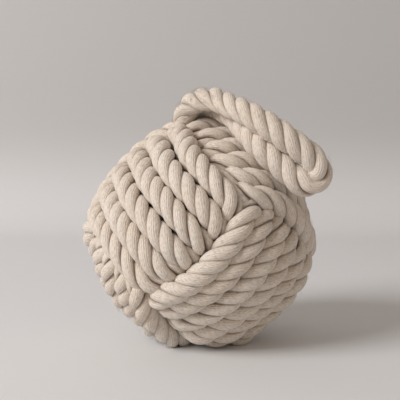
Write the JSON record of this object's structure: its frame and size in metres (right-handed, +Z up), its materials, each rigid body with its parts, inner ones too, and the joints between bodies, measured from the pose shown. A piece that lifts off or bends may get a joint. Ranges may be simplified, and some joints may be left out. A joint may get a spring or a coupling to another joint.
{
  "type": "rope knot doorstop",
  "caption": "Ball of thick cotton rope tied as a monkey's fist over a bag of sand, with a rope loop handle, to hold a door open.",
  "frame": {"origin": "on the floor, under the middle of the whole object's bounding box", "axes": "+Z up; +X to the right and +Y away, as seen from the front, where the handle lies over to the right"},
  "size_m": [0.1836, 0.1788, 0.1968],
  "materials": {
    "natural_cotton_rope": "matte, soft natural cotton rope in right-hand laid strands",
    "bag_canvas": "plain woven cotton canvas, matte",
    "dry_sand": "dry fine sand, matte",
    "tie_twine": "thin jute twine, matte"
  },
  "bodies": {
    "knot": {"first_turns": "natural_cotton_rope", "second_turns": "natural_cotton_rope", "third_turns": "natural_cotton_rope", "front_tuck": "natural_cotton_rope", "rear_tuck": "natural_cotton_rope", "ballast_bag": "bag_canvas", "ballast_sand": "dry_sand", "bag_tie": "tie_twine"},
    "handle": {"handle_loop": "natural_cotton_rope"}
  },
  "joints": [
    {"name": "handle_swing", "type": "hinge", "parent": "knot", "child": "handle", "pos_m": [-0.00893, 0.0135, 0.17446], "axis": [-0.6177, -0.7127, -0.3326], "range_deg": [0, 80]}
  ]
}
